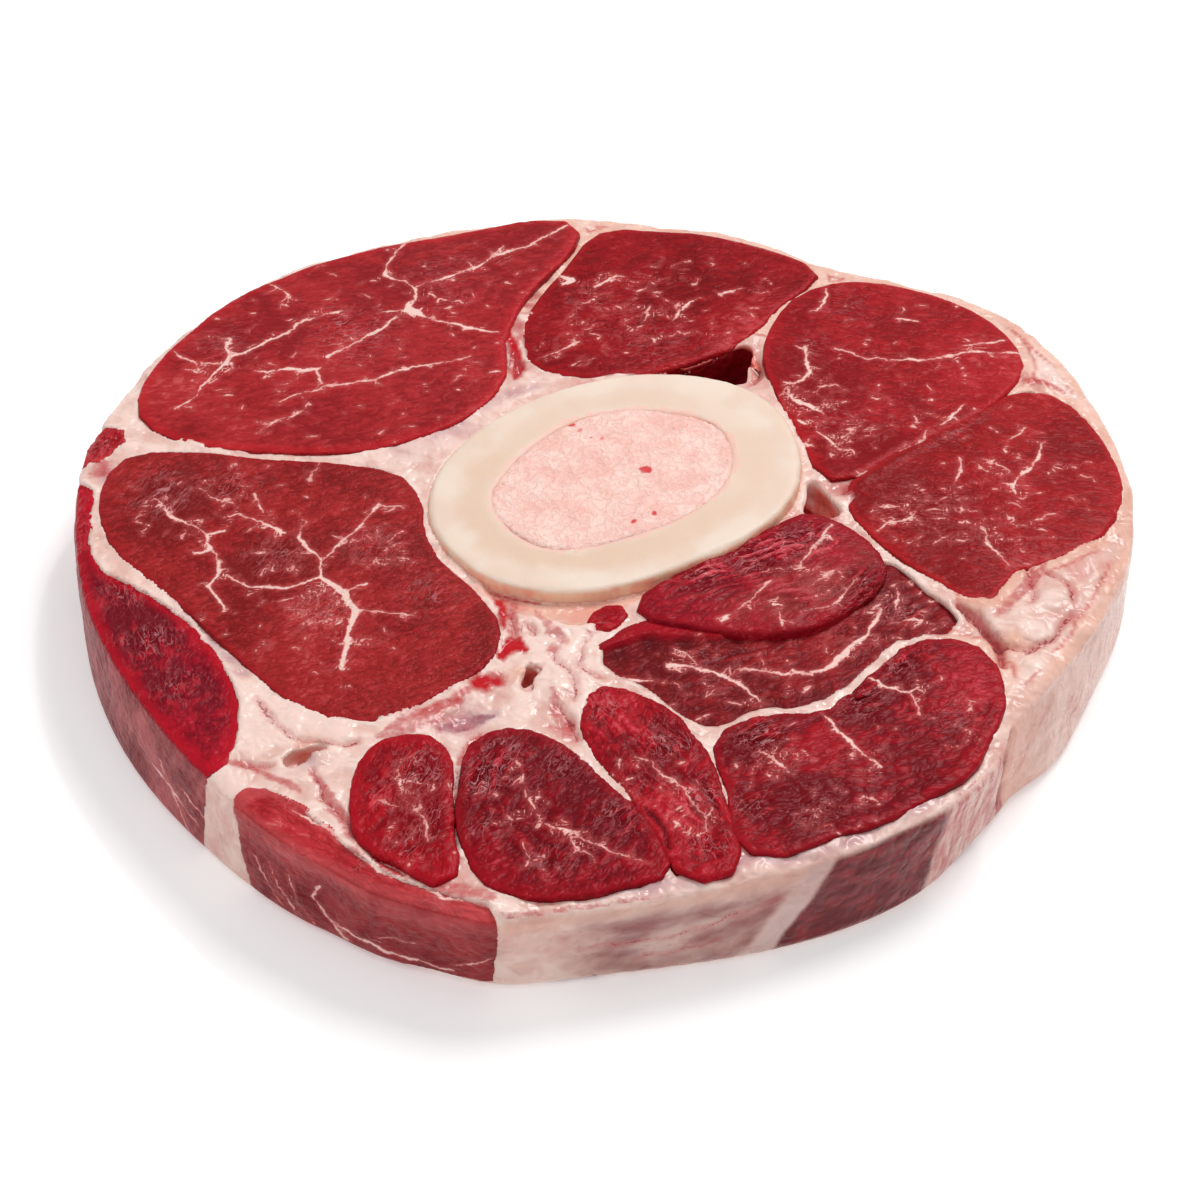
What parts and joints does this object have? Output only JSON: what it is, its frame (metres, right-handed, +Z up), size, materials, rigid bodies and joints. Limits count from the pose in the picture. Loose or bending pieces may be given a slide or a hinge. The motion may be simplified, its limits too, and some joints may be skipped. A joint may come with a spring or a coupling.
{
  "type": "raw beef shank slice",
  "caption": "Raw beef shank, a thick cross-cut slice lying flat: red muscles in a web of pale fat and sinew around an oval leg bone filled with pink marrow.",
  "frame": {"origin": "middle of the slice's outline, on the resting face, on the floor", "axes": "+Z up through the thickness of the slice, out of the cut face that shows; -Y to the front edge nearest the camera; +X to the picture's right"},
  "size_m": [0.1933, 0.1884, 0.0232],
  "materials": {
    "meat": "raw red muscle, moist sheen, white marbling",
    "fat": "pale pink fat and sinew, moist, soft sheen",
    "bone": "sawn bone, cream, satin",
    "marrow": "soft grainy marrow, pale pink, moist"
  },
  "bodies": {
    "root": {"bone": "bone", "fat_and_sinew": "fat", "marrow": "marrow", "muscle_back": "meat", "muscle_back_left": "meat", "muscle_front_flap": "meat", "muscle_front_left_rim": "meat", "muscle_front_middle": "meat", "muscle_front_right": "meat", "muscle_front_scrap": "meat", "muscle_front_small_left": "meat", "muscle_front_small_right": "meat", "muscle_front_wedge": "meat", "muscle_left": "meat", "muscle_left_corner": "meat", "muscle_left_rim": "meat", "muscle_right": "meat", "muscle_right_upper": "meat"}
  },
  "joints": []
}
